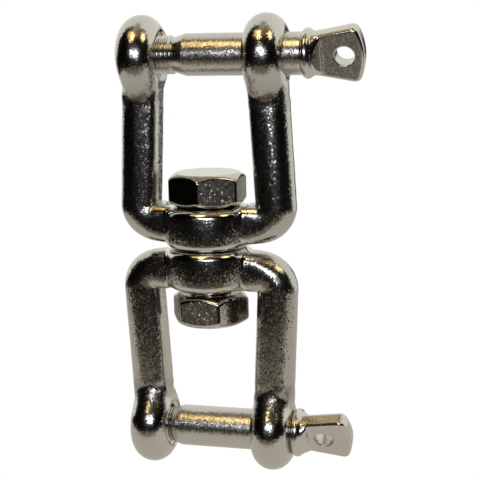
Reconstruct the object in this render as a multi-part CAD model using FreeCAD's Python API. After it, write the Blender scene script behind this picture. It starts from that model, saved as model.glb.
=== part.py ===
import FreeCAD, Part
import math
import os

# Anchor swivel, 10 mm size, in millimetres: two alike forks joined by a through bolt and nut,
# each jaw closed by a screw pin. The swivel axis is +Z and both pins lie along X, heads at +X.
# The origin is the middle of the upper jaw, on the axis of the upper pin.

# Driving dimensions: overall
PIN_D = 10.0            # plain shank of both screw pins, and of the swivel bolt
PIN_SPAN = 92.0         # upper pin axis to lower pin axis
RUNNING = 0.05          # radial clearance of every pin and bolt in its bore
FACE_GAP = 0.05         # gap between flat faces that turn on each other
NUT_PLAY = 1.2          # gap under the lower boss, the swivel's end play

# Driving dimensions: forks
LEG_D = 9.6
EAR_R = 9.5
EAR_T = 9.9            # thickness along the pin, with a fully rounded rim
EAR_X = 15.35            # swivel axis to the middle of an ear
CORNER_X = 17.3         # swivel axis to the point where the leg and arm axes cross
NECK_END = 15.0         # ear centre to where the neck has become the round leg
NECK_FLARE = 3.4        # how far the neck's half width along Y grows before it is lost in the ear
NECK_INSET = 0.25       # how far the neck's sides lie inside the leg's, so it only shows front and back
NECK_SUNK = 0.15        # how far inside the leg the neck starts
NECK_SECTIONS = 5
BEND_R = 4.3            # radius of the bend's centre line
ARM_DROP = 4.0          # slope of each arm towards the boss, in degrees
BOSS_R = 10.6
BOSS_BULGE = 0.3        # how much the barrel-shaped side stands out at mid height
BOSS_H = 10.0
BOSS_SEAT_ROUND = 1.9   # edge round on the side of the bolt head or nut
BOSS_JOINT_ROUND = 1.8  # edge round where the two bosses meet
SPOT_FACE_R = 10.3      # machined seat round the bolt head, cut into the tops of the arms
COUNTERSINK_R = 5.7
COUNTERSINK_DEPTH = 0.5

# Driving dimensions: swivel bolt and nut
HEX_AF = 17.0
HEAD_H = 8.0
NUT_H = 7.6
HEX_CHAMFER = 30.0      # slope of the corner chamfers, in degrees
HEX_CHAMFER_R = 7.6     # radius at which the chamfer cone cuts an end face
HEAD_TURN = 31.0        # turn of the head about the swivel axis, in degrees
NUT_TURN = -2.5
BOLT_END = 1.0          # how far the bolt stands out of the nut

# Driving dimensions: screw pins
THREAD_PITCH = 1.0
THREAD_R = 4.65
THREAD_DEPTH = 0.45
THREAD_L = 8.8
TIP_CHAMFER = 0.8
TIP_INSET = 0.6         # end of the thread inside the outer face of its ear, when home
SHANK_CONE = 3.0        # length of the cone between thread and plain shank
BEAD_R = 5.9
BEAD_W = 2.4
NECK_R = 5.1
TAB_T = 3.9
TAB_L = 10.2            # milled flat, from the foot of its ramp to the crown of its end
TAB_ROOT_W = 9.8
TAB_END_W = 13.9
TAB_CROWN = 1.6         # rise of the rounded end over its corners
TAB_CORNER = 1.3
TAB_EDGE = 0.5
TAB_RAMP_RUN = 1.9      # length along the pin of the slanted step from neck to flat
EYE_D = 4.7
UPPER_EYE_FROM_END = 4.6
LOWER_EYE_FROM_END = 6.8  # this eye is drilled further from the end than the other pin's
UPPER_BACKED_OUT = 3.7  # the upper pin stands this far unscrewed
UPPER_TAB_TURN = 23.0   # turn of each milled tab about its pin, in degrees
LOWER_TAB_TURN = 34.0

# Worked out from the driving dimensions
JOINT_Z = -PIN_SPAN / 2.0
BOSS_TOP = JOINT_Z + FACE_GAP / 2.0 + BOSS_H
BOSS_MID = BOSS_TOP - BOSS_H / 2.0
BORE_R = PIN_D / 2.0 + RUNNING
THREAD_BORE_R = THREAD_R + RUNNING
PIN_R = PIN_D / 2.0
LEG_R = LEG_D / 2.0
EAR_FACE = EAR_X + EAR_T / 2.0
SEAT = EAR_FACE + FACE_GAP
TAB_ROOT = SEAT + BEAD_W
TAB_FOOT = TAB_ROOT + TAB_RAMP_RUN
TAB_CROWN_X = TAB_FOOT + TAB_L
CORNER_Z = BOSS_MID + CORNER_X * math.tan(math.radians(ARM_DROP))
LEG_LEAN = math.degrees(math.atan((CORNER_X - EAR_X) / -CORNER_Z))

ORIGIN = FreeCAD.Vector(0, 0, 0)
X = FreeCAD.Vector(1, 0, 0)
Y = FreeCAD.Vector(0, 1, 0)
Z = FreeCAD.Vector(0, 0, 1)


def at(x, y, z):
    return FreeCAD.Vector(x, y, z)


def lathe_x(profile):
    """Solid of revolution about the X axis from (x, radius) points."""
    points = [at(x, 0, r) for x, r in profile]
    wire = Part.makePolygon(points + [points[0]])
    return Part.Face(wire).revolve(ORIGIN, X, 360)


# Forks

def ear():
    """Thick washer shape with a fully rounded rim, about the pin axis."""
    half = EAR_T / 2.0
    flat = EAR_R - half
    left = [Part.makeLine(at(-half, 0, 0), at(-half, 0, flat))]
    rim = [Part.Arc(at(-half, 0, flat), at(0, 0, EAR_R), at(half, 0, flat)).toShape()]
    right = [
        Part.makeLine(at(half, 0, flat), at(half, 0, 0)),
        Part.makeLine(at(half, 0, 0), at(-half, 0, 0)),
    ]
    body = Part.Face(Part.Wire(left + rim + right)).revolve(ORIGIN, X, 360)
    body.translate(at(EAR_X, 0, 0))
    return body


def neck():
    """Waist under an ear: sections keep the leg's width and widen along Y towards the ear."""
    sections = []
    for step in range(NECK_SECTIONS):
        share = step / (NECK_SECTIONS - 1.0)
        height = -NECK_END * (1.0 - 0.75 * share)
        width = LEG_R - NECK_SUNK + (NECK_FLARE + NECK_SUNK) * share ** 1.5
        curve = Part.Ellipse(at(0, width, height), at(LEG_R - NECK_INSET, 0, height), at(0, 0, height))
        sections.append(Part.Wire(curve.toShape()))
    body = Part.makeLoft(sections, True, False)
    body.rotate(ORIGIN, Y, -LEG_LEAN)
    body.translate(at(EAR_X, 0, 0))
    return body


def leg_and_arm():
    """Round bar from the ear down to the bend and inwards into the boss."""
    ear_center = at(EAR_X, 0, 0)
    corner = at(CORNER_X, 0, CORNER_Z)
    down = (corner - ear_center).normalize()
    inwards = (at(0, 0, BOSS_MID) - corner).normalize()
    turn = down.getAngle(inwards)
    setback = BEND_R * math.tan(turn / 2.0)
    leg_end = corner - down * setback
    arm_start = corner + inwards * setback
    leg = Part.makeCylinder(LEG_R, (leg_end - ear_center).Length, ear_center, down)
    arm = Part.makeCylinder(LEG_R, (at(0, 0, BOSS_MID) - arm_start).Length, arm_start, inwards)
    return leg.fuse([arm, bend(leg_end, down, math.degrees(turn))])


def bend(start, down, turn):
    """Outer part of a tight round bend, swept about an axis along Y."""
    inwards = Y.cross(down) * -1
    if inwards.x > 0:
        inwards = inwards * -1
    axis_point = start + inwards * BEND_R
    half_chord = math.sqrt(LEG_R ** 2 - BEND_R ** 2)
    outer = start - inwards * LEG_R
    low = axis_point - Y * half_chord
    high = axis_point + Y * half_chord
    face = Part.Face(Part.Wire([Part.Arc(low, outer, high).toShape(), Part.makeLine(high, low)]))
    return face.revolve(axis_point, Y, turn)


def boss():
    """Barrel-shaped hub that turns on the swivel bolt."""
    end_r = BOSS_R - BOSS_BULGE
    low_z = BOSS_TOP - BOSS_H
    outline = [
        Part.makeLine(at(0, 0, low_z), at(end_r, 0, low_z)),
        Part.Arc(at(end_r, 0, low_z), at(BOSS_R, 0, BOSS_MID), at(end_r, 0, BOSS_TOP)).toShape(),
        Part.makeLine(at(end_r, 0, BOSS_TOP), at(0, 0, BOSS_TOP)),
        Part.makeLine(at(0, 0, BOSS_TOP), at(0, 0, low_z)),
    ]
    body = Part.Face(Part.Wire(outline)).revolve(ORIGIN, Z, 360)
    for height, radius in ((low_z, BOSS_JOINT_ROUND), (BOSS_TOP, BOSS_SEAT_ROUND)):
        circles = [edge for edge in body.Edges if edge.Curve.TypeId == "Part::GeomCircle"]
        rim = [edge for edge in circles if abs(edge.CenterOfMass.z - height) < radius / 2.0]
        body = body.makeFillet(radius, rim)
    return body


def fork():
    """Upper fork: threaded ear at -X, plain ear at +X."""
    side = ear().fuse([neck(), leg_and_arm()])
    body = side.fuse([side.mirror(ORIGIN, X), boss()]).removeSplitter()
    bolt_bore = Part.makeCylinder(BORE_R, 3 * BOSS_H, at(0, 0, BOSS_MID - 1.5 * BOSS_H))
    spot_face = Part.makeCylinder(SPOT_FACE_R, BOSS_H, at(0, 0, BOSS_TOP))
    plain_bore = Part.makeCylinder(BORE_R, 2 * EAR_T, at(EAR_X - EAR_T, 0, 0), X)
    thread_bore = Part.makeCylinder(THREAD_BORE_R, 2 * EAR_T, at(-EAR_X - EAR_T, 0, 0), X)
    inner = -EAR_X + EAR_T / 2.0
    mouth = lathe_x([
        (inner - COUNTERSINK_DEPTH, 0),
        (inner - COUNTERSINK_DEPTH, THREAD_BORE_R),
        (inner, COUNTERSINK_R),
        (inner + COUNTERSINK_DEPTH, COUNTERSINK_R),
        (inner + COUNTERSINK_DEPTH, 0),
    ])
    return body.cut([bolt_bore, spot_face, plain_bore, thread_bore, mouth])


def turned_over(shape):
    """The lower place of a fork: half a turn about X, then down by the pin span."""
    placed = shape.copy()
    placed.rotate(ORIGIN, X, 180)
    placed.translate(at(0, 0, -PIN_SPAN))
    return placed


# Swivel bolt and nut

def hexagon(height, bottom, turn):
    """Hexagonal block with cone-chamfered corners at both ends."""
    corner_r = HEX_AF / math.sqrt(3.0)
    corners = []
    for side in range(6):
        angle = math.radians(60.0 * side + turn)
        corners.append(at(corner_r * math.cos(angle), corner_r * math.sin(angle), bottom))
    block = Part.Face(Part.makePolygon(corners + [corners[0]])).extrude(Z * height)
    chamfer = (corner_r - HEX_CHAMFER_R) * math.tan(math.radians(HEX_CHAMFER))
    profile = [
        at(0, 0, bottom),
        at(HEX_CHAMFER_R, 0, bottom),
        at(corner_r, 0, bottom + chamfer),
        at(corner_r, 0, bottom + height - chamfer),
        at(HEX_CHAMFER_R, 0, bottom + height),
        at(0, 0, bottom + height),
    ]
    turned = Part.Face(Part.makePolygon(profile + [profile[0]])).revolve(ORIGIN, Z, 360)
    return block.common(turned)


def nut_top():
    return JOINT_Z - FACE_GAP / 2.0 - BOSS_H - NUT_PLAY


def swivel_bolt():
    """Hex head on the upper boss, shank through both bosses and the nut."""
    head_bottom = BOSS_TOP + FACE_GAP
    tip = nut_top() - NUT_H - BOLT_END
    shank = Part.makeCylinder(PIN_R, head_bottom - tip, at(0, 0, tip))
    rim = [edge for edge in shank.Edges if abs(edge.CenterOfMass.z - tip) < FACE_GAP]
    shank = shank.makeChamfer(BOLT_END, rim)
    return shank.fuse(hexagon(HEAD_H, head_bottom, HEAD_TURN)).removeSplitter()


def swivel_nut():
    """Hex nut locked on the end of the bolt."""
    block = hexagon(NUT_H, nut_top() - NUT_H, NUT_TURN)
    return block.cut(Part.makeCylinder(PIN_R, 2 * NUT_H, at(0, 0, nut_top() - 1.5 * NUT_H)))


# Screw pins

def pin_shaft():
    """Thread, cone, plain shank, bead and neck, with the bead's seat on the outer ear face."""
    tip = -EAR_FACE + TIP_INSET
    thread_end = tip + THREAD_L
    root_r = THREAD_R - THREAD_DEPTH
    profile = [(tip, 0), (tip, THREAD_R - TIP_CHAMFER)]
    crest = tip + TIP_CHAMFER
    while crest + THREAD_PITCH <= thread_end:
        profile.append((crest, THREAD_R))
        profile.append((crest + THREAD_PITCH / 2.0, root_r))
        crest = crest + THREAD_PITCH
    profile.append((crest, THREAD_R))
    profile.append((crest + THREAD_PITCH / 2.0, root_r))
    profile.append((crest + THREAD_PITCH / 2.0 + SHANK_CONE, PIN_R))
    bead_arc_r = BEAD_W / 2.0
    profile.append((SEAT + bead_arc_r, PIN_R))
    profile.append((SEAT + bead_arc_r, 0))
    shaft = lathe_x(profile)
    bead = Part.makeTorus(BEAD_R - bead_arc_r, bead_arc_r, at(SEAT + bead_arc_r, 0, 0), X)
    hub = Part.makeCylinder(BEAD_R - bead_arc_r, BEAD_W, at(SEAT, 0, 0), X)
    collar = Part.makeCylinder(NECK_R, bead_arc_r + TAB_RAMP_RUN, at(SEAT + bead_arc_r, 0, 0), X)
    return shaft.fuse([bead, hub, collar])


def tab_outline(root, crown):
    """Flared paddle in the XZ plane: straight sides and a crowned end."""
    half_root = TAB_ROOT_W / 2.0
    half_end = TAB_END_W / 2.0
    shoulder = crown - TAB_CROWN
    low_root = at(root, 0, -half_root)
    high_root = at(root, 0, half_root)
    high_end = at(shoulder, 0, half_end)
    low_end = at(shoulder, 0, -half_end)
    return Part.Face(Part.Wire([
        Part.makeLine(low_root, high_root),
        Part.makeLine(high_root, high_end),
        Part.Arc(high_end, at(crown, 0, 0), low_end).toShape(),
        Part.makeLine(low_end, low_root),
    ]))


def tab(eye_from_end):
    """Milled flat of the pin head, lying in the XZ plane, with its eye."""
    half = TAB_T / 2.0
    slab = tab_outline(TAB_ROOT, TAB_CROWN_X).extrude(Y * TAB_T)
    slab.translate(Y * -half)
    corners = [e for e in slab.Edges if e.Curve.TypeId == "Part::GeomLine"
               and abs(e.Curve.Direction.y) > 0.9 and e.CenterOfMass.x > TAB_FOOT]
    slab = slab.makeFillet(TAB_CORNER, corners)
    rims = [e for e in slab.Edges
            if abs(abs(e.CenterOfMass.y) - half) < RUNNING and e.CenterOfMass.x > TAB_FOOT]
    slab = slab.makeFillet(TAB_EDGE, rims)
    eye = Part.makeCylinder(EYE_D / 2.0, 2 * TAB_T, at(TAB_CROWN_X - eye_from_end, -TAB_T, 0), Y)
    return slab.cut(eye)


def mill_cuts():
    """The two prisms cut away beside the flat, each leaving a slanted step at its foot."""
    half = TAB_T / 2.0
    reach = 2 * TAB_END_W
    cuts = []
    for side in (-1, 1):
        section = Part.makePolygon([
            at(TAB_FOOT, side * half, -reach / 2.0),
            at(TAB_ROOT, side * NECK_R, -reach / 2.0),
            at(TAB_ROOT, side * reach, -reach / 2.0),
            at(TAB_CROWN_X + reach, side * reach, -reach / 2.0),
            at(TAB_CROWN_X + reach, side * half, -reach / 2.0),
            at(TAB_FOOT, side * half, -reach / 2.0),
        ])
        cuts.append(Part.Face(section).extrude(Z * reach))
    return cuts


def screw_pin(turn, eye_from_end):
    """Whole pin in its home place, with the tab turned about the pin axis."""
    body = pin_shaft().cut(mill_cuts()).fuse(tab(eye_from_end)).removeSplitter()
    body.rotate(ORIGIN, X, turn)
    return body


def main():
    os.makedirs("parts", exist_ok=True)
    upper = fork()
    upper_pin = screw_pin(UPPER_TAB_TURN, UPPER_EYE_FROM_END)
    upper_pin.translate(X * UPPER_BACKED_OUT)
    lower_pin = screw_pin(LOWER_TAB_TURN, LOWER_EYE_FROM_END)
    lower_pin.translate(Z * -PIN_SPAN)
    parts = {
        "upper_fork": upper,
        "lower_fork": turned_over(upper),
        "swivel_bolt": swivel_bolt(),
        "swivel_nut": swivel_nut(),
        "upper_pin": upper_pin,
        "lower_pin": lower_pin,
    }
    for name, shape in parts.items():
        print(name, shape.isValid(), len(shape.Solids), round(shape.Volume, 1), shape.BoundBox)
        shape.exportStep("parts/" + name + ".step")


main()
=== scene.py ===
"""Looks of the anchor swivel: two cast and polished forks, the swivel bolt and nut, and two screw pins.

Each piece is a signed distance field, negative inside the steel, turned into a mesh by surface nets.
Fields are written in millimetres in the frame of the CAD model, and meshes are in metres.
"""

import math

import bpy
import numpy as np
from mathutils import Matrix, Vector

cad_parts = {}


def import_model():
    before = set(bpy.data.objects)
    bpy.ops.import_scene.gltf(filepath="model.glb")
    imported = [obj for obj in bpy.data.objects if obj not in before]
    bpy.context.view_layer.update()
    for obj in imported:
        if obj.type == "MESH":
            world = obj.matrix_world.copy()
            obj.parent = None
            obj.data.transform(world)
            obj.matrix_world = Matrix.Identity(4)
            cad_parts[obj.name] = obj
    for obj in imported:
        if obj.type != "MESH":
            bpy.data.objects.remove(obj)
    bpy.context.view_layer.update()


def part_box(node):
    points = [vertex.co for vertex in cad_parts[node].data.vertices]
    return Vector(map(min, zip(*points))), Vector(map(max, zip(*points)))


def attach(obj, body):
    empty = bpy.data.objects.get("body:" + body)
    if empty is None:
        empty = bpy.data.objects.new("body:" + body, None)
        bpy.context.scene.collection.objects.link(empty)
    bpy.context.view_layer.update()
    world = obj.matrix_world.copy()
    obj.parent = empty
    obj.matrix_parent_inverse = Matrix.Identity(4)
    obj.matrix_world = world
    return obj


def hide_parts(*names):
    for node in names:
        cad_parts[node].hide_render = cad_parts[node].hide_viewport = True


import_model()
MM = 0.001


def box_mm(node):
    """Low and high corner of a CAD node's box, in millimetres."""
    low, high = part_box(node)
    return np.array(low) / MM, np.array(high) / MM


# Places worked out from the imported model
FORK_LOW, FORK_HIGH = box_mm("upper_fork")
LOWER_LOW = box_mm("lower_fork")[0]
BOLT_LOW, BOLT_HIGH = box_mm("swivel_bolt")
NUT_LOW, NUT_HIGH = box_mm("swivel_nut")
UPPER_PIN_HIGH = box_mm("upper_pin")[1]
LOWER_PIN_LOW, LOWER_PIN_HIGH = box_mm("lower_pin")
EAR_R = FORK_HIGH[2]
PIN_SPAN = -LOWER_LOW[2] - EAR_R
BACKED_OUT = UPPER_PIN_HIGH[0] - LOWER_PIN_HIGH[0]
FLOOR_Z = LOWER_LOW[2] * MM

# Forks
LEG_R = 4.8             # half the thickness of the bar, on legs and arms alike
EAR_HALF = 4.95         # half the thickness of an ear
EAR_X = 15.35           # middle of an ear, along the pin
CORNER_X = 17.3         # where the middle lines of leg and arm would meet without the bend
BEND_R = 4.3            # of the bar's middle line
ARM_DROP = 4.0          # degrees
NECK_FILLET = 3.0       # where the leg runs into the ear, front and back
NECK_SIDE_FILLET = 0.4
FILLET_FLOOR = 0.01     # square mm; keeps the fillet's share finite on the leg's own axis
FACE_LOW = 6.3          # the outer ear face is flat down to this far under the pin axis
ARM_SQUARE = 1.8        # how far the arms' section leaves the circle beside the boss
ARM_SQUARE_X = 9.5      # squarest up to here
ARM_ROUND_X = 17.0      # and round from here
BOSS_R = 10.6
BOSS_BULGE = 0.3        # how far the barrel's middle stands out past its ends
BOSS_H = 10.0
BOSS_SEAT_ROUND = 1.9   # edge on the side of the bolt head or nut
BOSS_JOINT_ROUND = 1.8  # edge where the two bosses meet
BOSS_FILLET = 0.6       # where the arms run into the boss
SPOT_FACE_R = 10.3      # round seat cut into the tops of the arms
PIN_R = 5.0
RUNNING = 0.05          # clearance of a running fit
BORE_R = PIN_R + RUNNING
MOUTH_ROUND = 0.4
COUNTERSINK_R = 5.7
COUNTERSINK_DEPTH = 1.1
COUNTERSINK_REACH = 2.0                 # the countersink's cone widens up to this far past its small end
RIPPLES = 6             # plane waves in each kind of unevenness
WAVE_HEIGHT = 0.012
WAVE_LENGTH = 9.0
NECK_WAVE_HEIGHT = 0.085
NECK_WAVE_LENGTH = 3.4
NECK_Z = -10.0          # middle of the neck between ear and leg
NECK_SPREAD = 2.6
UPPER_WAVE_SEED = 3
LOWER_WAVE_SEED = 8

# Threads
THREAD_R = 4.65
THREAD_DEPTH = 0.58
THREAD_PITCH = 1.0
THREAD_FULLNESS = 0.8   # below 1, the grooves are wider than the crests
THREAD_RUNOUT = 0.4     # half the length over which the thread fades into the cone
THREAD_BORE_R = THREAD_R + RUNNING
BOLT_THREAD_DEPTH = 0.55
BOLT_PITCH = 1.5

# Bolt head and nut
HEX_AF = 17.0           # across the flats
HEX_STEP = 60.0         # degrees from one flat to the next
HEAD_TURN = 31.0
NUT_TURN = -2.5
HEAD_BARE = HEAD_TURN - 2.5 * HEX_STEP  # direction of the flat that kept its polish
NUT_BARE = NUT_TURN - 0.5 * HEX_STEP
HEAD_H = 8.0
HEAD_FILLET = 0.2       # where the shank runs into the head
SHANK_SUNK = 1.0        # the shank ends this far under the top of the head
BOLT_END_ROUND = 0.1
NUT_MOUTH = 0.8         # chamfer at both ends of the nut's bore
NUT_MOUTH_ROUND = 0.15
HEX_CHAMFER = 30.0      # degrees
HEX_CHAMFER_R = 7.6
HEX_ROUND = 0.5
BOLT_END = 1.0          # chamfer at the bolt's end

# Screw pins
TIP_INSET = 0.6         # how far the tip of a pin screwed home lies inside the ear's face
TIP_CHAMFER = 0.8
TIP_ROUND = 0.1
THREAD_L = 8.8
SHANK_CONE = 3.0        # length of the cone between thread and shank
BEAD_R = 5.9
BEAD_W = 2.4
BEAD_ROUND = 0.1
COLLAR_R = 5.1
COLLAR_OVERLAP = 1.0    # how far the collar reaches into the tab
COLLAR_FILLET = 0.45
TAB_FILLET = 0.25
TAB_HALF = 1.95         # half the thickness of the tab
TAB_ROOT_W = 9.8
TAB_END_W = 13.9
TAB_CROWN = 1.6         # height of the arc at the tab's end
TAB_CORNER = 1.3
TAB_EDGE = 0.9
TAB_RAMP_RUN = 1.9      # length of the slope from the collar down to the flat
EYE_R = 2.35
EYE_ROUND = 0.3
UPPER_EYE_FROM_END = 4.6
LOWER_EYE_FROM_END = 6.8
UPPER_TAB_TURN = 23.0
LOWER_TAB_TURN = 34.0

# Mesh
COARSER = 1.0
FORK_CELL = 0.28 * COARSER
SMALL_CELL = 0.166 * COARSER            # bolt, nut and pins
MARGIN = 0.8            # room round a piece for its grid
PIN_MARGIN = 1.0        # further room across a pin, whose tab may be turned another way
SETTLE = 3              # times that the points are moved onto the surface
SLOPE_REACH = 0.1       # step for a gradient, in cells, while the points move
NORMAL_REACH = 0.2      # the same for the final normals
LONGEST_MOVE = 0.5      # in cells
LEAST_SLOPE2 = 0.05     # keeps the step finite where the field is flat

SEAT_Z = FORK_LOW[2] + BOSS_H           # the boss's seat for the bolt head
BOSS_MID = FORK_LOW[2] + BOSS_H / 2.0
CORNER_Z = BOSS_MID + CORNER_X * math.tan(math.radians(ARM_DROP))
EAR_FACE = EAR_X + EAR_HALF
SEAT_X = EAR_FACE + RUNNING
TAB_ROOT = SEAT_X + BEAD_W
TAB_FOOT = TAB_ROOT + TAB_RAMP_RUN
TAB_END = LOWER_PIN_HIGH[0]


# Fields

def both(a, b, radius):
    """Intersection of two fields with its edge rounded."""
    corner = np.hypot(np.maximum(a + radius, 0.0), np.maximum(b + radius, 0.0))
    return np.minimum(np.maximum(a, b), -radius) + corner


def either(a, b, radius):
    """Union of two fields with a fillet."""
    return -both(-a, -b, radius)


def blend(low, high, value):
    """Smooth step from 0 at low to 1 at high; high may be the smaller of the two."""
    share = np.clip((value - low) / (high - low), 0.0, 1.0)
    return share * share * (3.0 - 2.0 * share)


def segment(px, pz, start, end):
    """Distance in a plane to a straight run."""
    along = end - start
    share = np.clip(((px - start[0]) * along[0] + (pz - start[1]) * along[1]) / (along @ along), 0.0, 1.0)
    return np.hypot(px - start[0] - share * along[0], pz - start[1] - share * along[1])


def thread(along, angle, crest, depth, pitch):
    """Radius of a helical thread at a place along and around its axis."""
    phase = 2.0 * math.pi * along / pitch - angle
    return crest - depth * (0.5 - 0.5 * np.cos(phase)) ** THREAD_FULLNESS


def ear(side, y, z):
    """Thick disc with a fully rounded rim."""
    rim = np.hypot(y, z) - EAR_R + EAR_HALF
    return np.hypot(np.maximum(rim, 0.0), side - EAR_X) - EAR_HALF


def bar(side, y, z):
    """Round bar down the leg, round the tight bend and along the arm, squarer beside the boss."""
    top = np.array([EAR_X, 0.0])
    corner = np.array([CORNER_X, CORNER_Z])
    middle = np.array([0.0, BOSS_MID])
    down = (corner - top) / np.linalg.norm(corner - top)
    inwards = (middle - corner) / np.linalg.norm(middle - corner)
    turn = math.acos(down @ inwards)
    setback = BEND_R * math.tan(turn / 2.0)
    leg_end = corner - down * setback
    arm_start = corner + inwards * setback
    bisector = (inwards - down) / np.linalg.norm(inwards - down)
    arc_middle = corner + bisector * BEND_R / math.cos(turn / 2.0)
    run = np.minimum(segment(side, z, top, leg_end), segment(side, z, arm_start, middle))
    past_leg = (side - leg_end[0]) * down[0] + (z - leg_end[1]) * down[1] > 0.0
    past_arm = (side - arm_start[0]) * inwards[0] + (z - arm_start[1]) * inwards[1] < 0.0
    arc = np.abs(np.hypot(side - arc_middle[0], z - arc_middle[1]) - BEND_R)
    run = np.where(past_leg & past_arm, arc, run)
    power = 2.0 + ARM_SQUARE * (1.0 - blend(ARM_SQUARE_X, ARM_ROUND_X, side))
    return (run ** power + np.abs(y) ** power) ** (1.0 / power) - LEG_R


def boss(x, y, z):
    """Barrel-shaped hub on the swivel axis."""
    half = BOSS_H / 2.0
    side_r = (half ** 2 + BOSS_BULGE ** 2) / (2.0 * BOSS_BULGE)
    barrel = np.hypot(np.hypot(x, y) - BOSS_R + side_r, z - BOSS_MID) - side_r
    return both(both(barrel, z - SEAT_Z, BOSS_SEAT_ROUND), FORK_LOW[2] - z, BOSS_JOINT_ROUND)


def ripples(x, y, z, seed, length):
    """Irregular unevenness of about unit height, from plane waves in random directions."""
    draw = np.random.default_rng(seed)
    total = 0.0
    for _ in range(RIPPLES):
        way = draw.normal(size=3)
        way *= 2.0 * math.pi / length / np.linalg.norm(way)
        total = total + np.sin(way[0] * x + way[1] * y + way[2] * z + draw.uniform(0.0, 2.0 * math.pi))
    return total / math.sqrt(RIPPLES)


def waves(x, y, z, seed):
    """Faint unevenness left by hand polishing, deeper at the necks."""
    neck = np.exp(-((z - NECK_Z) / NECK_SPREAD) ** 2)
    faint = WAVE_HEIGHT * ripples(x, y, z, seed, WAVE_LENGTH)
    return faint + NECK_WAVE_HEIGHT * neck * ripples(x, y, z, seed + 1, NECK_WAVE_LENGTH)


def fork_field(seed):
    """One fork in the upper fork's place, with its own unevenness."""
    def field(x, y, z):
        side = np.abs(x)
        facing = y * y / (y * y + (side - EAR_X) ** 2 + FILLET_FLOOR)
        fillet = NECK_SIDE_FILLET + (NECK_FILLET - NECK_SIDE_FILLET) * facing
        body = either(ear(side, y, z), bar(side, y, z), fillet)
        body = np.maximum(body, np.minimum(side - EAR_FACE, z + FACE_LOW))
        body = either(body, boss(x, y, z), BOSS_FILLET) + waves(x, y, z, seed)
        radius = np.hypot(x, y)
        body = both(body, BORE_R - radius, MOUTH_ROUND)
        body = np.maximum(body, np.minimum(z - SEAT_Z, SPOT_FACE_R - radius))
        body = np.maximum(body, FORK_LOW[2] - z)
        across = np.hypot(y, z)
        inner = -EAR_X + EAR_HALF - COUNTERSINK_DEPTH
        slope = (COUNTERSINK_R - THREAD_BORE_R) / COUNTERSINK_DEPTH
        groove = THREAD_DEPTH * (0.5 - 0.5 * np.cos(2.0 * math.pi * x / THREAD_PITCH - np.arctan2(z, y)))
        threaded = THREAD_BORE_R + groove + np.clip(x - inner, 0.0, COUNTERSINK_REACH) * slope
        hole = np.where(x > 0.0, BORE_R, threaded)
        return both(body, hole - across, MOUTH_ROUND)
    return field


def hexagon(x, y, z, low, high, turn):
    """Hexagonal block, chamfered by a cone at each end."""
    sides = None
    for face in range(3):
        angle = math.radians(HEX_STEP * face + turn + HEX_STEP / 2.0)
        reach = np.abs(x * math.cos(angle) + y * math.sin(angle)) - HEX_AF / 2.0
        sides = reach if sides is None else both(sides, reach, HEX_ROUND)
    slope = math.radians(HEX_CHAMFER)
    outside = (np.hypot(x, y) - HEX_CHAMFER_R) * math.sin(slope)
    upper = np.maximum(outside + (z - high) * math.cos(slope), z - high)
    lower = np.maximum(outside + (low - z) * math.cos(slope), low - z)
    return both(both(sides, upper, HEX_ROUND), lower, HEX_ROUND)


def bolt_field(x, y, z):
    """Head and shank of the bolt; the shank is threaded from its end to the top of the nut."""
    head = hexagon(x, y, z, BOLT_HIGH[2] - HEAD_H, BOLT_HIGH[2], HEAD_TURN)
    radius = np.hypot(x, y)
    threaded = thread(z, np.arctan2(y, x), PIN_R, BOLT_THREAD_DEPTH, BOLT_PITCH)
    wall = np.where(z < NUT_HIGH[2], threaded, PIN_R)
    end = (radius - PIN_R + BOLT_END + BOLT_LOW[2] - z) / math.sqrt(2.0)
    shank = np.maximum(radius - wall, z - BOLT_HIGH[2] + SHANK_SUNK)
    shank = both(shank, np.maximum(end, BOLT_LOW[2] - z), BOLT_END_ROUND)
    return either(head, shank, HEAD_FILLET)


def nut_field(x, y, z):
    """Nut with a plain bore, chamfered at both mouths."""
    block = hexagon(x, y, z, NUT_LOW[2], NUT_HIGH[2], NUT_TURN)
    middle = (NUT_LOW[2] + NUT_HIGH[2]) / 2.0
    half = (NUT_HIGH[2] - NUT_LOW[2]) / 2.0
    mouth = PIN_R + np.maximum(np.abs(z - middle) - half + NUT_MOUTH, 0.0)
    return both(block, mouth - np.hypot(x, y), NUT_MOUTH_ROUND)


def tab_outline(x, z):
    """Flared paddle with a crowned end and rounded corners, in the plane of the flat."""
    slope = (TAB_END_W - TAB_ROOT_W) / 2.0 / (TAB_END - TAB_CROWN - TAB_ROOT)
    sides = (np.abs(z) - TAB_ROOT_W / 2.0 - (x - TAB_ROOT) * slope) / math.hypot(1.0, slope)
    crown_r = ((TAB_END_W / 2.0) ** 2 + TAB_CROWN ** 2) / (2.0 * TAB_CROWN)
    crown = np.hypot(x - TAB_END + crown_r, z) - crown_r
    return both(sides, crown, TAB_CORNER)


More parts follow.
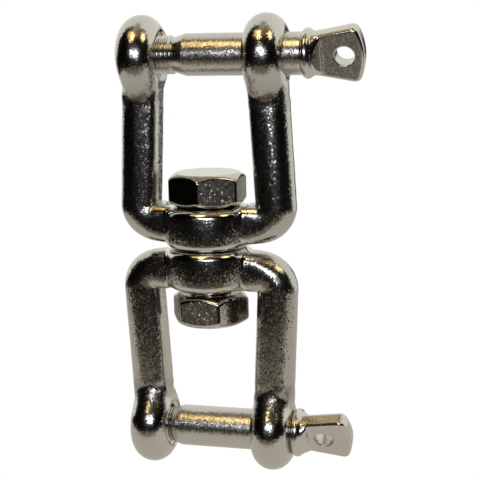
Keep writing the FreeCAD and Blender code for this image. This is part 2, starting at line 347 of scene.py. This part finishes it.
def pin_field(tab_turn, eye_from_end):
    """One screw pin in its home place on the X axis: thread, shank, bead, collar and tab."""
    turn = math.radians(tab_turn)

    def field(x, y, z):
        radius = np.hypot(y, z)
        tip = -EAR_FACE + TIP_INSET
        thread_end = tip + THREAD_L
        root = THREAD_R - THREAD_DEPTH
        grooves = thread(x, np.arctan2(z, y), THREAD_R, THREAD_DEPTH, THREAD_PITCH)
        cone = np.clip(root + (x - thread_end) * (PIN_R - root) / SHANK_CONE, root, PIN_R)
        wall = grooves + (cone - grooves) * blend(thread_end - THREAD_RUNOUT, thread_end + THREAD_RUNOUT, x)
        tip_cone = (radius - THREAD_R + TIP_CHAMFER + tip - x) / math.sqrt(2.0)
        shank = np.maximum(radius - wall, x - SEAT_X - BEAD_W)
        shank = both(shank, np.maximum(tip - x, tip_cone), TIP_ROUND)
        bead_r = BEAD_W / 2.0
        bead = np.hypot(radius - BEAD_R + bead_r, x - SEAT_X - bead_r) - bead_r
        hub = both(radius - BEAD_R + bead_r, np.abs(x - SEAT_X - bead_r) - bead_r, BEAD_ROUND)
        bead = np.minimum(bead, hub)
        v = y * math.cos(turn) + z * math.sin(turn)
        w = z * math.cos(turn) - y * math.sin(turn)
        collar = np.maximum(radius - COLLAR_R, SEAT_X + bead_r - x)
        collar = np.maximum(collar, x - TAB_FOOT - COLLAR_OVERLAP)
        rise = (COLLAR_R - TAB_HALF) / TAB_RAMP_RUN
        flat = np.abs(v) - TAB_HALF
        ramp = (flat - (TAB_FOOT - x) * rise) / math.hypot(1.0, rise)
        collar = both(collar, np.minimum(flat, ramp), TAB_EDGE)
        paddle = both(np.maximum(tab_outline(x, w), TAB_ROOT - x), flat, TAB_EDGE)
        head = either(collar, paddle, TAB_FILLET)
        eye = EYE_R - np.hypot(x - TAB_END + eye_from_end, w)
        head = both(head, eye, EYE_ROUND)
        return either(np.minimum(shank, bead), head, COLLAR_FILLET)
    return field


# Meshes

def surface_net(field, low, high, cell):
    """Points and quads of the zero surface of a field inside a box."""
    axes = [np.arange(low[i] - MARGIN, high[i] + MARGIN + cell, cell) for i in range(3)]
    grid = np.meshgrid(*axes, indexing="ij", sparse=True)
    d = np.ascontiguousarray(np.broadcast_to(field(*grid), [len(a) for a in axes]))
    inside = d < 0.0
    cells = np.array(d.shape) - 1
    count = np.zeros(cells, np.int8)
    offsets = [(i, j, k) for i in (0, 1) for j in (0, 1) for k in (0, 1)]
    for i, j, k in offsets:
        count += inside[i:cells[0] + i, j:cells[1] + j, k:cells[2] + k]

    # One point in each cell with corners on both sides: the mean of the crossings on its edges
    mixed = (count > 0) & (count < 8)
    where = np.argwhere(mixed)
    index = np.full(cells, -1, np.int64)
    index[mixed] = np.arange(len(where))
    total = np.zeros((len(where), 3))
    crossings = np.zeros(len(where))
    for axis in range(3):
        step = np.eye(3, dtype=int)[axis]
        for offset in [o for o in offsets if o[axis] == 0]:
            near = where + offset
            a = d[tuple(near.T)]
            b = d[tuple((near + step).T)]
            hit = (a < 0.0) != (b < 0.0)
            share = np.where(hit, a / np.where(hit, a - b, 1.0), 0.0)
            total += (np.array(offset) + share[:, None] * step) * hit[:, None]
            crossings += hit
    points = np.array([axis[0] for axis in axes]) + cell * (where + total / crossings[:, None])

    # One quad round each grid edge that crosses the surface; across Y the two other axes turn the other way
    quads = []
    for axis in range(3):
        a = np.take(inside, range(0, d.shape[axis] - 1), axis)
        b = np.take(inside, range(1, d.shape[axis]), axis)
        at = np.argwhere(a != b)
        u, v = [other for other in range(3) if other != axis]
        kept = (at[:, u] > 0) & (at[:, v] > 0) & (at[:, u] < cells[u]) & (at[:, v] < cells[v])
        at = at[kept]
        flip = a[tuple(at.T)] == (axis != 1)
        ring = []
        for du, dv in ((0, 0), (1, 0), (1, 1), (0, 1)):
            corner = at.copy()
            corner[:, u] -= du
            corner[:, v] -= dv
            ring.append(index[tuple(corner.T)])
        ring = np.stack(ring, 1)
        quads.append(np.where(flip[:, None], ring, ring[:, ::-1]))
    return points, np.concatenate(quads)


def slopes(field, points, reach):
    """Gradient of a field at points."""
    result = np.empty_like(points)
    for axis in range(3):
        step = np.zeros(3)
        step[axis] = reach
        ahead = field(*(points + step).T)
        behind = field(*(points - step).T)
        result[:, axis] = (ahead - behind) / (2.0 * reach)
    return result


def settled(field, points, cell):
    """Points moved onto the zero surface, and its normals there."""
    longest = LONGEST_MOVE * cell
    for _ in range(SETTLE):
        slope = slopes(field, points, SLOPE_REACH * cell)
        length2 = np.maximum((slope * slope).sum(1), LEAST_SLOPE2)
        move = field(*points.T) / length2
        move = np.clip(move * np.sqrt(length2), -longest, longest) / np.sqrt(length2)
        points = points - slope * move[:, None]
    slope = slopes(field, points, NORMAL_REACH * cell)
    return points, slope / np.maximum(np.linalg.norm(slope, axis=1), 1e-9)[:, None]


def piece(name, made, grain, place, material, body, node):
    """Blender object from points, quads and normals, put in place, hung on its body and shown instead of its
    CAD node, which is hidden.
    """
    points, quads, normals = made
    mesh = bpy.data.meshes.new(name)
    mesh.vertices.add(len(points))
    mesh.loops.add(4 * len(quads))
    mesh.polygons.add(len(quads))
    rotation = np.array(place.to_3x3())
    spots = points @ rotation.T * MM + np.array(place.translation) * MM
    mesh.vertices.foreach_set("co", spots.astype(np.float32).ravel())
    mesh.loops.foreach_set("vertex_index", quads.astype(np.int32).ravel())
    mesh.polygons.foreach_set("loop_start", np.arange(0, 4 * len(quads), 4, dtype=np.int32))
    mesh.update(calc_edges=True)
    mesh.validate()
    mesh.polygons.foreach_set("use_smooth", np.ones(len(mesh.polygons), bool))
    mesh.normals_split_custom_set_from_vertices((normals @ rotation.T).tolist())
    grains = grain(points, normals).astype(np.float32)
    mesh.attributes.new("grain", "FLOAT", "POINT").data.foreach_set("value", grains)
    mesh.materials.append(material)
    thing = bpy.data.objects.new(name, mesh)
    bpy.context.scene.collection.objects.link(thing)
    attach(thing, body)
    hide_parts(node)


def shaped(field, low, high, cell):
    """Points, quads and normals of the surface of a field."""
    points, quads = surface_net(field, low, high, cell)
    points, normals = settled(field, points, cell)
    return points, quads, normals


# Where the surface keeps its blasted grain, from 0, polished, to 1, as blasted; the same value sets the
# roughness and the painted shade in the colour

BAR_GRAIN = 0.6
UPPER_EAR_GRAIN = 0.55
LOWER_EAR_GRAIN = 0.25
CROWN_GRAIN = 0.25      # on the outer half of an ear
CROWN_EDGE = (0.0, 4.0)                 # heights over the pin axis where the crown's grain begins and is full
EAR_EDGE = (12.0, 6.0)                  # radii round the pin axis where the ear's polish begins and is full
NECK_ROUGHER = 0.3
RIM_POLISH = 0.5
RIM_EDGE = (0.995, 0.97)                # horizontal part of the normal where a boss's rim begins and is full
RIM_ROOM = 0.5          # the rims are looked for this far outside the boss
ABOVE_SEAT = 3.0        # and up to this far above it
FLAT_EDGE = (0.985, 0.999)              # agreement with a flat's normal where its grain begins and is full
BARE_EDGE = (0.95, 0.9)                 # agreement with the bare flat's normal where grain comes back
EDGE_GRAIN = 0.1
HEX_GRAIN = 0.75        # more than the edges have
SHANK_GRAIN = 0.33      # more than the threads and the bead have
SHANK_FADE = 1.0        # over this length the shank's grain fades before the seat
CONE_FADE = 2.0         # and over this length towards the cone
TAB_FADE = 0.2
UPPER_TAB_GRAIN = 1.0
LOWER_TAB_GRAIN = 0.4


def fork_grain(ear_grain):
    """Ears and the rims and ends of the boss are polished most, the necks between ear and leg least."""
    def grain(points, normals):
        x, y, z = points.T
        near_ear = blend(*EAR_EDGE, np.hypot(y, z))
        crown = blend(*CROWN_EDGE, z)
        neck = np.exp(-((z - NECK_Z) / NECK_SPREAD) ** 2)
        rim = blend(*RIM_EDGE, np.hypot(normals[:, 0], normals[:, 1]))
        on_boss = (np.hypot(x, y) < BOSS_R + RIM_ROOM) & (z < SEAT_Z + ABOVE_SEAT)
        polish = near_ear * (BAR_GRAIN - ear_grain + (ear_grain - CROWN_GRAIN) * crown)
        return BAR_GRAIN - polish + NECK_ROUGHER * neck - RIM_POLISH * rim * on_boss
    return grain


def hexagon_grain(turn, bare):
    """Five flats are blasted; the one that faces the bare direction and all edges are bright."""
    def grain(points, normals):
        flat = np.zeros(len(points))
        for face in range(3):
            angle = math.radians(HEX_STEP * face + turn + HEX_STEP / 2.0)
            facing = normals[:, 0] * math.cos(angle) + normals[:, 1] * math.sin(angle)
            flat = np.maximum(flat, np.abs(facing))
        side = math.radians(bare)
        bareness = normals[:, 0] * math.cos(side) + normals[:, 1] * math.sin(side)
        return EDGE_GRAIN + HEX_GRAIN * blend(*FLAT_EDGE, flat) * blend(*BARE_EDGE, bareness)
    return grain


def pin_grain(tab_turn, tab_grain):
    """The tab's flats have their own grain, the shank has some and the threads and bead are polished."""
    turn = math.radians(tab_turn)

    def grain(points, normals):
        x = points[:, 0]
        facing = np.abs(normals[:, 1] * math.cos(turn) + normals[:, 2] * math.sin(turn))
        flat = blend(*FLAT_EDGE, facing) * blend(TAB_FOOT - TAB_FADE, TAB_FOOT + TAB_FADE, x)
        cone_end = -EAR_FACE + TIP_INSET + THREAD_L + SHANK_CONE
        shank = SHANK_GRAIN * blend(SEAT_X, SEAT_X - SHANK_FADE, x)
        shank = shank * blend(cone_end - CONE_FADE, cone_end, x)
        return EDGE_GRAIN + np.maximum((tab_grain - EDGE_GRAIN) * flat, shank)
    return grain


# Materials

GRAIN_SIZE = 0.30 * MM
SWELL_SIZE = 1.3 * MM
SWELL_DEPTH = 0.045 * MM
SWELL_DETAIL = 2.0
LEAST_ROUGH = 0.8       # the broad noise multiplies the roughness by this at least
ROUGH_RANGE = 0.4
DULLING_AND_SHADE = 0.45          # share of the colour that a fully blasted surface loses: partly its duller finish, partly painted shade for the shadows inside its grain


class Graph:
    """Short calls for building a node tree out of maths."""

    def __init__(self, tree):
        self.nodes = tree.nodes
        self.links = tree.links

    def fill(self, socket, value):
        """Set a socket to a value, or link it where the value is another node's output."""
        if isinstance(value, bpy.types.NodeSocket):
            self.links.new(value, socket)
        elif isinstance(value, tuple) and len(value) == 3 and socket.type == "RGBA":
            socket.default_value = (*value, 1.0)
        else:
            socket.default_value = value

    def math(self, operation, a, b=0.0):
        node = self.nodes.new("ShaderNodeMath")
        node.operation = operation
        self.fill(node.inputs[0], a)
        self.fill(node.inputs[1], b)
        return node.outputs[0]

    def vector(self, operation, a, b=None):
        node = self.nodes.new("ShaderNodeVectorMath")
        node.operation = operation
        self.fill(node.inputs[0], a)
        if b is not None:
            self.fill(node.inputs["Scale" if operation == "SCALE" else 1], b)
        return node.outputs[0]

    def ramp(self, value, low, high):
        """Smooth step from 0 at low to 1 at high."""
        node = self.nodes.new("ShaderNodeMapRange")
        node.interpolation_type = "SMOOTHSTEP"
        self.fill(node.inputs["Value"], value)
        node.inputs["From Min"].default_value = min(low, high)
        node.inputs["From Max"].default_value = max(low, high)
        if low > high:
            node.inputs["To Min"].default_value = 1.0
            node.inputs["To Max"].default_value = 0.0
        return node.outputs["Result"]

    def mix(self, share, a, b):
        """Blend of two colours; a mix node's colour sockets are inputs 6 and 7 and output 2."""
        node = self.nodes.new("ShaderNodeMix")
        node.data_type = "RGBA"
        self.fill(node.inputs["Factor"], share)
        self.fill(node.inputs[6], a)
        self.fill(node.inputs[7], b)
        return node.outputs[2]

    def noise(self, place, size, detail):
        """Noise with grains of a size in metres."""
        node = self.nodes.new("ShaderNodeTexNoise")
        self.fill(node.inputs["Vector"], place)
        node.inputs["Scale"].default_value = 1.0 / size
        node.inputs["Detail"].default_value = detail
        return node.outputs["Fac"]

    def bump(self, height, depth, strength):
        node = self.nodes.new("ShaderNodeBump")
        self.fill(node.inputs["Height"], height)
        self.fill(node.inputs["Strength"], strength)
        node.inputs["Distance"].default_value = depth
        return node.outputs["Normal"]

    def tilted(self, normal, place, size, amount):
        """Normal turned at random from one grain to the next, a little for most and more for a few."""
        cells = self.nodes.new("ShaderNodeTexVoronoi")
        self.fill(cells.inputs["Vector"], place)
        cells.inputs["Scale"].default_value = 1.0 / size
        offset = self.vector("SUBTRACT", cells.outputs["Color"], (0.5, 0.5, 0.5))
        offset = self.vector("SCALE", offset, 2.0)
        offset = self.vector("MULTIPLY", offset, self.vector("MULTIPLY", offset, offset))
        leaned = self.vector("ADD", normal, self.vector("SCALE", offset, amount))
        return self.vector("NORMALIZE", leaned)


def steel(name, base, polished, blasted, tilt, unevenness):
    """Stainless steel with a roughness where polished and where blasted; its grain shows as sparkle, and
    darkens the colour as partly painted shade.
    """
    material = bpy.data.materials.new(name)
    material.use_nodes = True
    graph = Graph(material.node_tree)
    shader = graph.nodes["Principled BSDF"]
    shader.inputs["Metallic"].default_value = 1.0
    place = graph.nodes.new("ShaderNodeTexCoord").outputs["Object"]
    kept = graph.nodes.new("ShaderNodeAttribute")
    kept.attribute_name = "grain"
    grain = kept.outputs["Fac"]
    broad = graph.noise(place, SWELL_SIZE, SWELL_DETAIL)
    # Painted shade: the colour darkens with the square of the grain, standing for the shadows inside the
    # blasted grain on top of its duller finish, so the grainiest places, such as the necks, come out darkest
    dull_and_shaded = tuple(channel * (1.0 - DULLING_AND_SHADE) for channel in base)
    colour = graph.mix(graph.math("MULTIPLY", grain, grain), base, dull_and_shaded)
    graph.links.new(colour, shader.inputs["Base Color"])
    rough = graph.math("ADD", polished, graph.math("MULTIPLY", grain, blasted - polished))
    patchy = graph.math("ADD", LEAST_ROUGH, graph.math("MULTIPLY", broad, ROUGH_RANGE))
    rough = graph.math("MULTIPLY", rough, patchy)
    graph.links.new(rough, shader.inputs["Roughness"])
    swell = graph.bump(broad, SWELL_DEPTH, graph.math("MULTIPLY", grain, unevenness))
    speckle = graph.tilted(swell, place, GRAIN_SIZE, graph.math("MULTIPLY", grain, tilt))
    graph.links.new(speckle, shader.inputs["Normal"])
    return material


# Camera; angles are in degrees, and lens and sensor in millimetres

AZIMUTH = 16.991
ELEVATION = 11.176
DISTANCE = 305.466 * MM
ROLL = -1.679
LENS = 94.33
SENSOR = 36.0
NEAREST = 0.01
FARTHEST = 20.0
AIM_RIGHT = 7.49 * MM   # the camera aims this far from the middle of the part
AIM_UP = 1.17 * MM
CENTER = Vector((0.0, 0.0, -PIN_SPAN / 2.0 * MM))       # where the two bosses meet


def towards(azimuth, elevation):
    """Unit vector from the object to a place round it; azimuth 0 is the front, -Y."""
    a = math.radians(azimuth)
    e = math.radians(elevation)
    return Vector((math.sin(a) * math.cos(e), -math.cos(a) * math.cos(e), math.sin(e)))


def camera():
    """Camera ahead of the part, to its right and a little above, rolled slightly."""
    back = towards(AZIMUTH, ELEVATION)
    place = CENTER + back * DISTANCE
    level_right = Vector((0.0, 0.0, 1.0)).cross(back).normalized()
    level_up = back.cross(level_right)
    aim = CENTER + level_right * AIM_RIGHT + level_up * AIM_UP
    depth = (place - aim).normalized()
    right = level_up.cross(depth).normalized()
    up = depth.cross(right)
    roll = math.radians(ROLL)
    turned_right = right * math.cos(roll) + up * math.sin(roll)
    turned_up = up * math.cos(roll) - right * math.sin(roll)
    data = bpy.data.cameras.new("camera")
    data.lens = LENS
    data.sensor_width = SENSOR
    data.clip_start = NEAREST
    data.clip_end = FARTHEST
    eye = bpy.data.objects.new("camera", data)
    eye.matrix_world = Matrix((
        (turned_right.x, turned_up.x, depth.x, place.x),
        (turned_right.y, turned_up.y, depth.y, place.y),
        (turned_right.z, turned_up.z, depth.z, place.z),
        (0.0, 0.0, 0.0, 1.0),
    ))
    bpy.context.scene.collection.objects.link(eye)
    bpy.context.scene.camera = eye


# Light: pale walls behind and at the sides, a dark room in front, a pale table below, warm lamps above

WALL = (0.90, 0.885, 0.81)
TABLE = (0.60, 0.56, 0.49)
TABLE_FRONT = (0.20, 0.17, 0.13)
ROOM = (0.001, 0.0008, 0.0007)
BEAMS = (0.26, 0.17, 0.07)
CEILING = (0.40, 0.36, 0.27)
SEEN = (1.0, 1.0, 1.0)                  # what the camera sees
TABLE_DROP = 30.0 * MM
TABLE_R = 300.0 * MM
TABLE_BACK = 80.0 * MM
TABLE_NARROW = 0.7
TABLE_SIDES = 96
TABLE_EDGE = (-115.0 * MM, -75.0 * MM)  # places along Y where the dim front ends and full light begins
TABLE_Z = FLOOR_Z - TABLE_DROP

# Where each part of the surroundings begins and is full, by direction; heights are of a unit vector
ROOM_AZIMUTH = -1.0
WALL_EDGE = (0.47, 0.60)                # share of the level direction that points away from the room
WALL_RISE = (-0.25, 0.15)               # heights between which the wall comes further forward
WALL_REACH = 0.40                       # by this share
DOOR_AZIMUTH = 165.0                    # narrow dark opening in the wall
DOOR_EDGE = (0.984, 0.992)
DOOR_TOP = (0.25, 0.1)                  # heights where it ends and is full
BEAMS_RISE = (0.72, 0.85)
BEAMS_SIDE = (-0.35, 0.1)
CEILING_RISE = (0.95, 0.99)
LEAST_LEVEL = 1e-4                      # keeps straight up and straight down finite

COOL_WHITE = (0.95, 0.96, 1.0)
# Name, azimuth and elevation in degrees, distance, width and height in metres, radiance, colour
LAMPS = (
    ("flash", 13.0, 17.0, 0.27, 0.12, 0.075, 5.0, COOL_WHITE),
    ("flash_left", -6.0, 22.0, 0.27, 0.07, 0.055, 4.0, COOL_WHITE),
    ("flash_glow", 9.0, 18.0, 0.271, 0.24, 0.12, 0.42, (0.90, 0.93, 1.0)),
    ("flash_halo", 9.0, 18.0, 0.272, 0.36, 0.20, 0.05, (0.85, 0.90, 1.0)),
    ("warm_high", -14.0, 57.0, 0.8, 0.24, 0.40, 3.0, (1.0, 0.76, 0.38)),
    ("warm_left", -40.0, 60.0, 0.8, 0.30, 0.30, 1.2, (1.0, 0.66, 0.28)),
    ("warm_right", 71.0, 47.0, 0.8, 0.28, 0.28, 2.4, (1.0, 0.80, 0.45)),
)


def pointing(graph, east, north, azimuth):
    """How far a direction points to an azimuth, from -1 to 1."""
    way = towards(azimuth, 0.0)
    return graph.math("ADD", graph.math("MULTIPLY", east, way.x), graph.math("MULTIPLY", north, way.y))


def world():
    """Surroundings by direction. The camera itself sees plain white."""
    surroundings = bpy.data.worlds.new("studio")
    bpy.context.scene.world = surroundings
    surroundings.use_nodes = True
    graph = Graph(surroundings.node_tree)
    background = graph.nodes["Background"]
    place = graph.nodes.new("ShaderNodeTexCoord")
    split = graph.nodes.new("ShaderNodeSeparateXYZ")
    graph.links.new(place.outputs["Generated"], split.inputs[0])
    east, north, up = split.outputs
    level2 = graph.math("SUBTRACT", 1.0, graph.math("MULTIPLY", up, up))
    level = graph.math("SQRT", graph.math("MAXIMUM", level2, LEAST_LEVEL))
    ahead = pointing(graph, east, north, ROOM_AZIMUTH)
    back = graph.math("DIVIDE", graph.math("MULTIPLY", ahead, -1.0), level)
    raised = graph.math("MULTIPLY", graph.ramp(up, *WALL_RISE), WALL_REACH)
    behind = graph.ramp(graph.math("ADD", back, raised), *WALL_EDGE)
    facing = graph.math("DIVIDE", pointing(graph, east, north, DOOR_AZIMUTH), level)
    door = graph.math("MULTIPLY", graph.ramp(facing, *DOOR_EDGE), graph.ramp(up, *DOOR_TOP))
    beams = graph.math("MULTIPLY", graph.ramp(up, *BEAMS_RISE), graph.ramp(east, *BEAMS_SIDE))
    colour = graph.mix(beams, ROOM, BEAMS)
    colour = graph.mix(behind, colour, WALL)
    colour = graph.mix(door, colour, ROOM)
    colour = graph.mix(graph.ramp(up, *CEILING_RISE), colour, CEILING)
    rays = graph.nodes.new("ShaderNodeLightPath")
    colour = graph.mix(rays.outputs["Is Camera Ray"], colour, SEEN)
    graph.links.new(colour, background.inputs["Color"])


def table():
    """Pale table a little below the part, dim towards its front. The camera doesn't see it."""
    bpy.ops.mesh.primitive_circle_add(vertices=TABLE_SIDES, radius=TABLE_R, fill_type="NGON",
                                      location=(0.0, TABLE_BACK, TABLE_Z), scale=(TABLE_NARROW, 1.0, 1.0))
    top = bpy.context.object
    top.name = "table"
    material = bpy.data.materials.new("table")
    material.use_nodes = True
    graph = Graph(material.node_tree)
    for node in list(graph.nodes):
        graph.nodes.remove(node)
    glow = graph.nodes.new("ShaderNodeEmission")
    output = graph.nodes.new("ShaderNodeOutputMaterial")
    split = graph.nodes.new("ShaderNodeSeparateXYZ")
    graph.links.new(graph.nodes.new("ShaderNodeTexCoord").outputs["Object"], split.inputs[0])
    place_y = graph.math("ADD", split.outputs[1], TABLE_BACK)
    lit = graph.ramp(place_y, *TABLE_EDGE)
    graph.links.new(graph.mix(lit, TABLE_FRONT, TABLE), glow.inputs["Color"])
    graph.links.new(glow.outputs[0], output.inputs[0])
    top.data.materials.append(material)
    top.visible_camera = False


def lamp(name, azimuth, elevation, distance, width, height, radiance, colour):
    """Oval area light that faces the part's middle; its radiance is what a mirror shows."""
    data = bpy.data.lights.new(name, "AREA")
    data.shape = "ELLIPSE"
    data.size = width
    data.size_y = height
    data.color = colour
    data.energy = radiance * math.pi * math.pi / 4.0 * width * height
    thing = bpy.data.objects.new(name, data)
    back = towards(azimuth, elevation)
    thing.location = CENTER + back * distance
    thing.rotation_mode = "QUATERNION"
    thing.rotation_quaternion = back.to_track_quat("Z", "Y")
    thing.visible_camera = False
    bpy.context.scene.collection.objects.link(thing)


# Pieces

def forks():
    """Upper fork, and the same fork turned over for the lower one."""
    material = steel("fork_steel", base=(0.64, 0.63, 0.60), polished=0.10, blasted=0.25,
                     tilt=0.17, unevenness=0.2)
    over = Matrix.Translation((0.0, 0.0, -PIN_SPAN)) @ Matrix.Rotation(math.pi, 4, "X")
    upper = shaped(fork_field(UPPER_WAVE_SEED), FORK_LOW, FORK_HIGH, FORK_CELL)
    piece("upper_fork_casting", upper, fork_grain(UPPER_EAR_GRAIN), Matrix.Identity(4),
          material, "upper_fork", "upper_fork")
    lower = shaped(fork_field(LOWER_WAVE_SEED), FORK_LOW, FORK_HIGH, FORK_CELL)
    piece("lower_fork_casting", lower, fork_grain(LOWER_EAR_GRAIN), over,
          material, "lower_fork", "lower_fork")


def bolt_and_nut():
    """Swivel bolt, and the nut that turns with it."""
    material = steel("bolt_steel", base=(0.60, 0.57, 0.53), polished=0.10, blasted=0.37,
                     tilt=0.33, unevenness=0.2)
    bolt = shaped(bolt_field, BOLT_LOW, BOLT_HIGH, SMALL_CELL)
    piece("swivel_bolt_forging", bolt, hexagon_grain(HEAD_TURN, HEAD_BARE), Matrix.Identity(4),
          material, "swivel_bolt", "swivel_bolt")
    nut = shaped(nut_field, NUT_LOW, NUT_HIGH, SMALL_CELL)
    piece("swivel_nut_forging", nut, hexagon_grain(NUT_TURN, NUT_BARE), Matrix.Identity(4),
          material, "swivel_bolt", "swivel_nut")


def pins():
    """Both screw pins, made at home on the X axis: the upper one backed out, the lower one screwed home."""
    material = steel("pin_steel", base=(0.64, 0.625, 0.59), polished=0.17, blasted=0.38,
                     tilt=0.25, unevenness=0.08)
    room = np.array([0.0, PIN_MARGIN, PIN_MARGIN])
    home_low = LOWER_PIN_LOW + np.array([0.0, 0.0, PIN_SPAN]) - room
    home_high = LOWER_PIN_HIGH + np.array([0.0, 0.0, PIN_SPAN]) + room
    upper = shaped(pin_field(UPPER_TAB_TURN, UPPER_EYE_FROM_END), home_low, home_high, SMALL_CELL)
    backed_out = Matrix.Translation((BACKED_OUT, 0.0, 0.0))
    piece("upper_pin_turned", upper, pin_grain(UPPER_TAB_TURN, UPPER_TAB_GRAIN), backed_out,
          material, "upper_pin", "upper_pin")
    lower = shaped(pin_field(LOWER_TAB_TURN, LOWER_EYE_FROM_END), home_low, home_high, SMALL_CELL)
    lowered = Matrix.Translation((0.0, 0.0, -PIN_SPAN))
    piece("lower_pin_turned", lower, pin_grain(LOWER_TAB_TURN, LOWER_TAB_GRAIN), lowered,
          material, "lower_pin", "lower_pin")


def main():
    bpy.context.scene.view_settings.view_transform = "Standard"
    camera()
    world()
    table()
    for values in LAMPS:
        lamp(*values)
    forks()
    bolt_and_nut()
    pins()


main()
